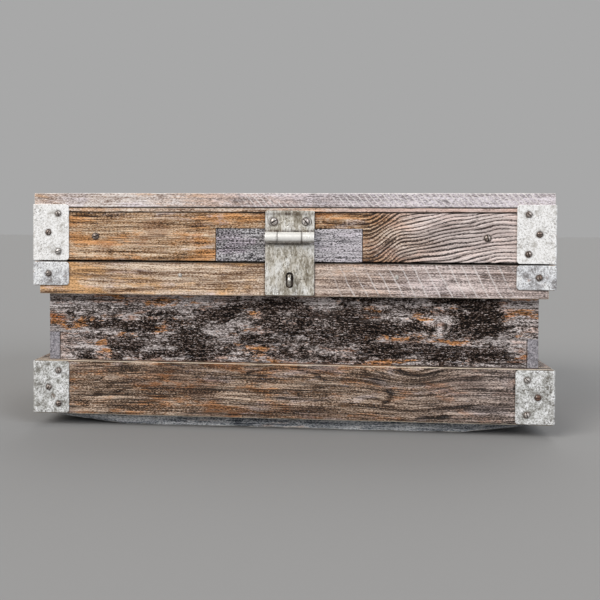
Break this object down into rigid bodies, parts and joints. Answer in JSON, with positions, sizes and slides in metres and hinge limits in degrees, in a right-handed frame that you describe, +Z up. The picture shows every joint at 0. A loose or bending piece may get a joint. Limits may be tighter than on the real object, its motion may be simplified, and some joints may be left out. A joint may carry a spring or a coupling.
{
  "type": "shipping crate",
  "caption": "Low lidded wooden shipping crate on runners, finger-jointed and railed, with steel corner brackets, a hinged lid and a hasp over a staple.",
  "frame": {"origin": "on the floor, under the middle of the crate", "axes": "+X to the right along the front, -Y towards the front (the hasp's side), +Z up"},
  "size_m": [0.818, 0.4854, 0.3738],
  "materials": {
    "dark_wood": "dark worn varnish",
    "bare_wood": "bare, aged",
    "runner_wood": "dark, weathered",
    "bottom_rail_wood": "worn, reddish brown",
    "upper_rail_wood": "saw-marked, pinkish brown",
    "lid_frame_wood": "raised grain, warm brown",
    "block_wood": "rough, greyed",
    "top_wood": "saw-marked, greyed",
    "galvanised_steel": "weathered zinc, pitted",
    "hinge_steel": "dull, stained",
    "hasp_steel": "dull, stained",
    "staple_steel": "worn bright",
    "screw_steel": "dull, rusty",
    "nail_iron": "rusty"
  },
  "bodies": {
    "base": {"front_wall": "dark_wood", "back_wall": "dark_wood", "left_wall": "dark_wood", "right_wall": "dark_wood", "bottom_plank_1": "bare_wood", "bottom_plank_2": "bare_wood", "bottom_plank_3": "bare_wood", "bottom_plank_4": "bare_wood", "skid_front": "runner_wood", "skid_back": "runner_wood", "bottom_rail_front": "bottom_rail_wood", "bottom_rail_back": "bottom_rail_wood", "bottom_rail_left": "bottom_rail_wood", "bottom_rail_right": "bottom_rail_wood", "upper_rail_front": "upper_rail_wood", "upper_rail_back": "upper_rail_wood", "upper_rail_left": "upper_rail_wood", "upper_rail_right": "upper_rail_wood", "bottom_bracket_front_left": "galvanised_steel", "bottom_bracket_front_right": "galvanised_steel", "bottom_bracket_back_left": "galvanised_steel", "bottom_bracket_back_right": "galvanised_steel", "upper_bracket_front_left": "galvanised_steel", "upper_bracket_front_right": "galvanised_steel", "upper_bracket_back_left": "galvanised_steel", "upper_bracket_back_right": "galvanised_steel", "staple": "staple_steel", "hinge_base_leaf_left": "hinge_steel", "hinge_base_leaf_right": "hinge_steel", "hinge_pins": "hinge_steel", "bottom_bracket_screws": "screw_steel", "upper_bracket_screws": "screw_steel", "hinge_base_screws": "screw_steel", "base_nails": "nail_iron"},
    "lid": {"lid_front_board": "lid_frame_wood", "lid_back_board": "lid_frame_wood", "lid_left_board": "lid_frame_wood", "lid_right_board": "lid_frame_wood", "lock_block": "block_wood", "lid_plank_front": "top_wood", "lid_plank_middle": "top_wood", "lid_plank_back": "top_wood", "lid_strip_front": "top_wood", "lid_strip_back": "top_wood", "lid_batten_left": "bare_wood", "lid_batten_right": "bare_wood", "lid_bracket_front_left": "galvanised_steel", "lid_bracket_front_right": "galvanised_steel", "lid_bracket_back_left": "galvanised_steel", "lid_bracket_back_right": "galvanised_steel", "hinge_lid_leaf_left": "hinge_steel", "hinge_lid_leaf_right": "hinge_steel", "hasp_leaf": "hasp_steel", "hasp_pin": "hasp_steel", "lid_bracket_screws": "screw_steel", "batten_screws": "screw_steel", "hinge_lid_screws": "screw_steel", "hasp_screws": "screw_steel", "lid_nails": "nail_iron"},
    "hasp": {"hasp_flap": "hasp_steel"}
  },
  "joints": [
    {"name": "lid_hinge", "type": "hinge", "parent": "base", "child": "lid", "pos_m": [0, 0.2329, 0.26475], "axis": [-1, 0, 0], "range_deg": [0, 180]},
    {"name": "hasp_hinge", "type": "hinge", "parent": "lid", "child": "hasp", "pos_m": [0.004, -0.23405, 0.3035], "axis": [-1, 0, 0], "range_deg": [0, 190]}
  ]
}
